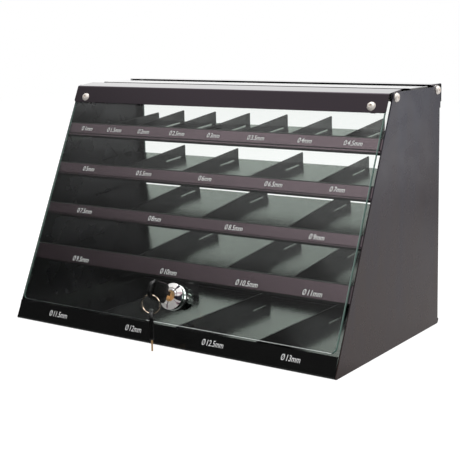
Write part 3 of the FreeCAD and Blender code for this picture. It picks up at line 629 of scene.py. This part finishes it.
def spun_lock(foot):
    """The lock's outline spun around its axis into one closed body."""
    shape = bmesh.new()
    places = [
        foot + SIDEWAYS * (radius * MM) + LIP_LEAN * (out * MM) for radius, out in LOCK_OUTLINE
    ]
    corners = [shape.verts.new(place) for place in places]
    following = corners[1:] + corners[:1]
    edges = [shape.edges.new(ends) for ends in zip(corners, following)]
    bmesh.ops.spin(shape, geom=corners + edges, cent=foot, axis=LIP_LEAN, angle=math.tau,
                   steps=LOCK_FACETS, use_merge=True)
    bmesh.ops.remove_doubles(shape, verts=shape.verts, dist=MERGE_REACH)
    bmesh.ops.recalc_face_normals(shape, faces=shape.faces)
    body = new_piece("lock_body_turned", shape, chrome_painted_reflection("chrome_painted_reflection", foot))
    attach(body, "front_flap")
    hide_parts("lock_body")
    return body


turned = spun_lock(lock_foot())
print("The lock's body has", len(turned.data.polygons), "faces")

# %% [markdown]
# ## Key bows
# The plastic bows are a little thicker than in the CAD parts, and each has a short neck over the
# root of its blade. The neck's place is worked out from the bow and the blade, so both keys are
# alike.

# %% Bows with necks
BOW_THICKENING = 1.4
BOW_NARROWING = 0.055
NECK_REACH = 5.4 * MM
NECK_OVERLAP = 1.5 * MM
NECK_WIDTH = 4.6 * MM
NECK_THICKNESS = 2.9 * MM
NECK_ROUNDING = 0.8 * MM
KEYS = [
    ("key_bow", "key_blade", "key"),
    ("spare_key_bow", "spare_key_blade", "spare_key"),
]


def middle_of(mesh):
    """The mean of a mesh's corners."""
    return sum((corner.co for corner in mesh.vertices), Vector()) / len(mesh.vertices)


def bow_with_neck(bow_name, blade_name, body):
    """A thicker merged copy of a bow, with a rounded block over the root of its blade."""
    source = nodes[bow_name].data
    flat = max(source.polygons, key=lambda face: face.area).normal.copy()
    middle = middle_of(source)
    along = middle - middle_of(nodes[blade_name].data)
    along = (along - flat * along.dot(flat)).normalized()
    across = along.cross(flat)
    base = min(corner.co.dot(along) for corner in source.vertices) - middle.dot(along)
    shape = bmesh.new()
    shape.from_mesh(source)
    bmesh.ops.remove_doubles(shape, verts=shape.verts, dist=MERGE_REACH)
    for corner in shape.verts:
        corner.co += flat * (corner.co - middle).dot(flat) * (BOW_THICKENING - 1)
        corner.co -= across * (corner.co - middle).dot(across) * BOW_NARROWING
    neck = bmesh.ops.create_cube(shape, size=1.0)["verts"]
    edges = list({edge for corner in neck for edge in corner.link_edges})
    length = NECK_REACH + NECK_OVERLAP
    axes = Matrix((flat, across, along)).transposed().to_4x4()
    stretch = Matrix.Diagonal((NECK_THICKNESS, NECK_WIDTH, length, 1))
    place = Matrix.Translation(middle + along * (base - NECK_REACH + length / 2))
    bmesh.ops.transform(shape, matrix=place @ axes @ stretch, verts=neck)
    bmesh.ops.bevel(shape, geom=edges, offset=NECK_ROUNDING, segments=3, profile=0.5,
                    affect="EDGES", material=-1)
    bmesh.ops.recalc_face_normals(shape, faces=shape.faces)
    bow = new_piece(bow_name + "_moulded", shape, black_plastic)
    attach(bow, body)
    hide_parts(bow_name)
    return bow


for names in KEYS:
    made = bow_with_neck(*names)
    print(made.name, "has", len(made.data.polygons), "faces")

# %% [markdown]
# ## Size labels
# Each compartment has its drill size printed on the lip in front of it, in small pale condensed
# letters. A text object gives the outlines, which become a flat mesh and are laid on the lip's
# face, a hair's breadth proud of the paint. The lip's plane and the dividers' places come from the
# CAD parts.

# %% Where the lips face
FIRST_SIZE = 1.0
SIZE_STEP = 0.5
LABEL_HEIGHTS = [7.4 * MM, 7.6 * MM, 7.8 * MM, 8.2 * MM, 8.8 * MM]
LABEL_SQUEEZES = [0.84, 0.84, 0.84, 0.84, 0.76]
SIGN_SQUEEZE = 0.62
SIGN_GAP = 0.06
LABEL_SLANT = 0.22
LABEL_BOLDNESS = 0.002
LABEL_DROPS = [1.1 * MM, 0.9 * MM, 1.8 * MM, 4.0 * MM, 0.1 * MM]
LABEL_NUDGES = {1: [1.3, 0.7, 0.4, -0.3, -1.2, -1.2, -2.7, -2.5], 5: [1.3, 4.4, 5.1, 1.6]}
LABEL_LIFT = 0.06 * MM
LIP_FACE_LEAST = 500 * MM * MM
LIP_FACE_MATCH = 0.98


def lip_plane(name):
    """The middle and the outward normal of the front of a shelf's lip."""
    shelf_mesh = nodes[name].data
    wide = [
        face
        for face in shelf_mesh.polygons
        if LIP_LEAN.dot(face.normal) > LIP_FACE_MATCH and face.area > LIP_FACE_LEAST
    ]
    front = max(wide, key=lambda face: face.normal.dot(face.center))

    def in_plane(face):
        return abs(front.normal.dot(face.center - front.center)) < LABEL_LIFT

    spread = filter(in_plane, wide)
    corners = [shelf_mesh.vertices[corner].co for face in spread for corner in face.vertices]
    low = min(corners, key=lambda corner: corner.z)
    high = max(corners, key=lambda corner: corner.z)
    return (low + high) / 2, front.normal.copy()


def row_dividers(row):
    """Where the dividers of a row stand, from left to right."""
    found = [name for name in nodes if name.startswith(f"divider_{row}_")]
    middles = [(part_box(name)[0].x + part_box(name)[1].x) / 2 for name in found]
    return sorted(middles)


for shelf in ROW_SHELVES:
    middle, normal = lip_plane(shelf)
    print(shelf, [round(v / MM, 1) for v in middle], [round(v, 3) for v in normal])


# %% Print the labels
def label_words(size):
    """A size as it is printed, without a needless zero."""
    return f"{size:g}mm"


def lettering(words, height):
    """Words as a flat mesh that starts at zero, and how wide they are."""
    curve = bpy.data.curves.new("lettering", "FONT")
    curve.body = words
    curve.size = height
    curve.align_y = "CENTER"
    curve.resolution_u = 3
    curve.shear = LABEL_SLANT
    curve.offset = height * LABEL_BOLDNESS
    written = bpy.data.objects.new("lettering", curve)
    bpy.context.scene.collection.objects.link(written)
    bpy.context.view_layer.update()
    flat = bpy.data.meshes.new_from_object(written)
    bpy.data.objects.remove(written)
    return flat, max(corner.co.x for corner in flat.vertices)


def print_label(name, number, height, squeeze, centre, normal):
    """Prints the narrow diameter sign and the number, with their middle at the centre."""
    sign, sign_width = lettering("Ø", height)
    digits, digits_width = lettering(number, height)
    step = sign_width * SIGN_SQUEEZE + height * SIGN_GAP
    total = step + digits_width * squeeze
    turn = Matrix((SIDEWAYS, normal.cross(SIDEWAYS), normal)).transposed().to_4x4()
    shape = bmesh.new()
    for part, start, narrow in ((sign, 0, SIGN_SQUEEZE), (digits, step, squeeze)):
        shift = Matrix.Translation((start - total / 2, 0, 0))
        part.transform(shift @ Matrix.Diagonal((narrow, 1, 1, 1)))
        shape.from_mesh(part)
    label = new_piece(name, shape, label_print)
    label.data.transform(Matrix.Translation(centre + normal * LABEL_LIFT) @ turn)
    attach(label, "cabinet")


size = FIRST_SIZE
walls = [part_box("side_panel_left")[1].x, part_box("side_panel_right")[0].x]
for row, shelf in enumerate(ROW_SHELVES, 1):
    centre, normal = lip_plane(shelf)
    edges = [walls[0]] + row_dividers(row) + [walls[1]]
    centre = centre - normal.cross(SIDEWAYS) * LABEL_DROPS[row - 1]
    height, squeeze = LABEL_HEIGHTS[row - 1], LABEL_SQUEEZES[row - 1]
    for place_in_row, (left, right) in enumerate(zip(edges, edges[1:])):
        nudge = LABEL_NUDGES[row][place_in_row] * MM if row in LABEL_NUDGES else 0.0
        place = Vector(((left + right) / 2 + nudge, centre.y, centre.z))
        name = f"label_{row}_{size:g}".replace(".", "_")
        print_label(name, label_words(size), height, squeeze, place, normal)
        size += SIZE_STEP
print("Labels run from", label_words(FIRST_SIZE), "to", label_words(size - SIZE_STEP))

# %% [markdown]
# ## Studio
# The photograph stands on pure white, and the floor and the world show white to the camera. In
# mirrors the world is white at the back left, dim at the back right and dark in front, as a room is
# behind a photographer, and it grows lighter upwards. The mirrored floor gets painted shade far
# behind and in front. Three soft lamps light the cabinet, from above, from the right and from
# behind.

# %% Floor
FLOOR_HALF = 3.0
FLOOR_DROP = 0.02 * MM
FLOOR_GLOW = 0.86
PAPER_WHITE = (0.8, 0.8, 0.8, 1)
SHADE_SHARE = 0.28
FAR_SKEW = 0.9
FAR_START = 0.25
FRONT_START = -0.05
FLOOR_FADE = 8.0
FLOOR_DIMMING = 0.42
FAR_DIMMING = 0.38
FRONT_DIMMING = 0.55
WHITE = (1, 1, 1, 1)
THROUGH_GLASS = (0.9, 1.0, 0.925, 1)


def studio_floor():
    """White paper that glows for whoever looks, less so in a mirror, and lights nothing itself."""
    material, sketch = new_material("studio_floor")
    rays = sketch.node("ShaderNodeLightPath", {}, {})
    seen = rays.output("Is Camera Ray") + rays.output("Is Glossy Ray")
    seen = (seen + rays.output("Is Transmission Ray")).clamped()
    # Painted shade on the floor as mirrors show it: dimmer far behind and in front of the cabinet.
    place = sketch.axes()
    reach = place.output("Y") - place.output("X") * FAR_SKEW
    far = ((reach - FAR_START) * FLOOR_FADE).clamped()
    front = ((FRONT_START - place.output("Y")) * FLOOR_FADE).clamped()
    painted_floor_shade = (far * FAR_DIMMING + front * FRONT_DIMMING).clamped()
    mirrored = rays.output("Glossy Depth").clamped()
    dimming = mirrored * (FLOOR_DIMMING + painted_floor_shade)
    strength = seen * FLOOR_GLOW * (1 - dimming)
    shaded = (SHADE_SHARE, SHADE_SHARE, SHADE_SHARE, 1)
    shade = sketch.mixed(seen, PAPER_WHITE, sketch.mixed(dimming, shaded, (0, 0, 0, 1)))
    paper = sketch.node("ShaderNodeBsdfDiffuse", {}, {"Color": shade})
    through = (mirrored * rays.output("Transmission Depth")).clamped()
    glow_colour = sketch.mixed(through, WHITE, THROUGH_GLASS)
    glow = sketch.node("ShaderNodeEmission", {}, {"Color": glow_colour, "Strength": strength})
    finish_material(sketch, sketch.node("ShaderNodeAddShader", {}, {0: paper, 1: glow}))
    shape = bmesh.new()
    bmesh.ops.create_grid(shape, x_segments=1, y_segments=1, size=FLOOR_HALF)
    bmesh.ops.translate(shape, verts=shape.verts, vec=(0, 0, cad_box[0][2] - FLOOR_DROP))
    floor = new_piece("studio_floor", shape, material)


studio_floor()
print("The floor lies at", round(cad_box[0][2] / MM, 2), "mm")

# %% World
FILL = 0.5
DARK_FRONT = 0.02
DARK_RISE = 0.29
BRIGHT_SPAN = 0.2
WALL_TILT = 0.12
WALL_CURVE = 1.5
WALL_LEVEL = 0.58
CEILING_START = 0.62
CEILING_FADE = 5.0
BACK_FADE = 3.0
SIDE_FADE = 4.0
LEFT_LEVEL = 0.6
RIGHT_LEVEL = 0.4
BACK_RIGHT_LEVEL = 0.12

world = bpy.data.worlds.new("studio")
world.use_nodes = True
bpy.context.scene.world = world
sky = Sketch(world.node_tree)
rays = sky.node("ShaderNodeLightPath", {}, {})
aim = sky.node("ShaderNodeTexCoord", {}, {}).output("Generated")
parts = sky.node("ShaderNodeSeparateXYZ", {}, {"Vector": aim})
back = (parts.output("Y") * BACK_FADE).clamped()
back_left = back * (LEFT_LEVEL - parts.output("X") * SIDE_FADE).clamped()
back_right = back * (parts.output("X") * SIDE_FADE + RIGHT_LEVEL).clamped()
rise = parts.output("Z") + parts.output("X") * WALL_TILT
wall = ((rise - DARK_RISE) / BRIGHT_SPAN).clamped()
wall = wall.maths("POWER", wall, WALL_CURVE) * WALL_LEVEL
ceiling = ((parts.output("Z") - CEILING_START) * CEILING_FADE).clamped() * (1 - WALL_LEVEL)
mirrored = (DARK_FRONT + back_left + back_right * BACK_RIGHT_LEVEL + wall + ceiling).clamped()
shine = rays.output("Glossy Depth").clamped()
spread = rays.output("Diffuse Depth").clamped()
seen = (rays.output("Is Camera Ray") + rays.output("Is Transmission Ray")).clamped()
seen = seen * (1 - shine) * (1 - spread)
level = seen + (1 - seen) * (spread * FILL + (1 - spread) * mirrored)
through = back_left * rays.output("Transmission Depth").clamped() * (1 - seen)
tint = sky.mixed(through, WHITE, THROUGH_GLASS)
backdrop = sky.node("ShaderNodeBackground", {}, {"Color": tint, "Strength": level})
sky.node("ShaderNodeOutputWorld", {}, {"Surface": backdrop})
world.cycles.sampling_method = "NONE"
print("The world glows white behind the cabinet")


# %% Lamps
LAMPS = [
    ("top_softbox", (0.1, 0.1, 1.6), (0, 0, 0.1), (1.6, 1.2), 14),
    ("right_softbox", (1.5, -0.7, 0.9), (0, 0, 0.1), (0.9, 0.9), 6),
    ("back_softbox", (0.8, 0.75, 0.4), (0.2, 0, 0.2), (0.6, 0.8), 1.7),
]


def soft_lamp(name, place, aim_at, size, power):
    """A rectangular lamp that stands at a place, looks at another and isn't seen itself."""
    lamp = bpy.data.lights.new(name, "AREA")
    lamp.shape = "RECTANGLE"
    lamp.size = size[0]
    lamp.size_y = size[1]
    lamp.energy = power
    lamp_object = bpy.data.objects.new(name, lamp)
    lamp_object.location = place
    aim = Vector(aim_at) - Vector(place)
    lamp_object.rotation_euler = aim.to_track_quat("-Z", "Y").to_euler()
    lamp_object.visible_camera = False
    bpy.context.scene.collection.objects.link(lamp_object)


for lamp in LAMPS:
    soft_lamp(*lamp)
print("Lamps lit:", len(LAMPS))

# %% [markdown]
# ## Camera
# The photograph was taken from the right, a little above the cabinet's top, through a long lens.
# The picture is cut from a larger frame, so the lens axis isn't at its middle and the sensor is
# shifted.

# %% Camera
CAMERA_PLACE = Vector((0.68983, -0.96784, 0.33331))
CAMERA_YAW = math.radians(34.84)
CAMERA_DOWN = math.radians(8.15)
CAMERA_ROLL = math.radians(-0.99)
LENS = 84.6
SENSOR = 36
SHIFT = (-0.0049, -0.1142)

look = Vector((-math.sin(CAMERA_YAW) * math.cos(CAMERA_DOWN),
               math.cos(CAMERA_YAW) * math.cos(CAMERA_DOWN),
               -math.sin(CAMERA_DOWN)))
level_right = Vector((math.cos(CAMERA_YAW), math.sin(CAMERA_YAW), 0))
level_up = level_right.cross(look)
right = level_right * math.cos(CAMERA_ROLL) + level_up * math.sin(CAMERA_ROLL)
up = level_up * math.cos(CAMERA_ROLL) - level_right * math.sin(CAMERA_ROLL)
camera_data = bpy.data.cameras.new("photo_camera")
camera_data.lens = LENS
camera_data.sensor_width = SENSOR
camera_data.shift_x = SHIFT[0]
camera_data.shift_y = SHIFT[1]
camera = bpy.data.objects.new("photo_camera", camera_data)
facing = Matrix((right, up, -look)).transposed().to_4x4()
camera.matrix_world = Matrix.Translation(CAMERA_PLACE) @ facing
bpy.context.scene.collection.objects.link(camera)
bpy.context.scene.camera = camera
bpy.context.scene.view_settings.view_transform = "Standard"
print("Camera stands", round(CAMERA_PLACE.length, 2), "m from the cabinet's foot")

# %% Print the CAD box and finish
print("CAD box", [[round(v / MM, 1) for v in c] for c in cad_box])
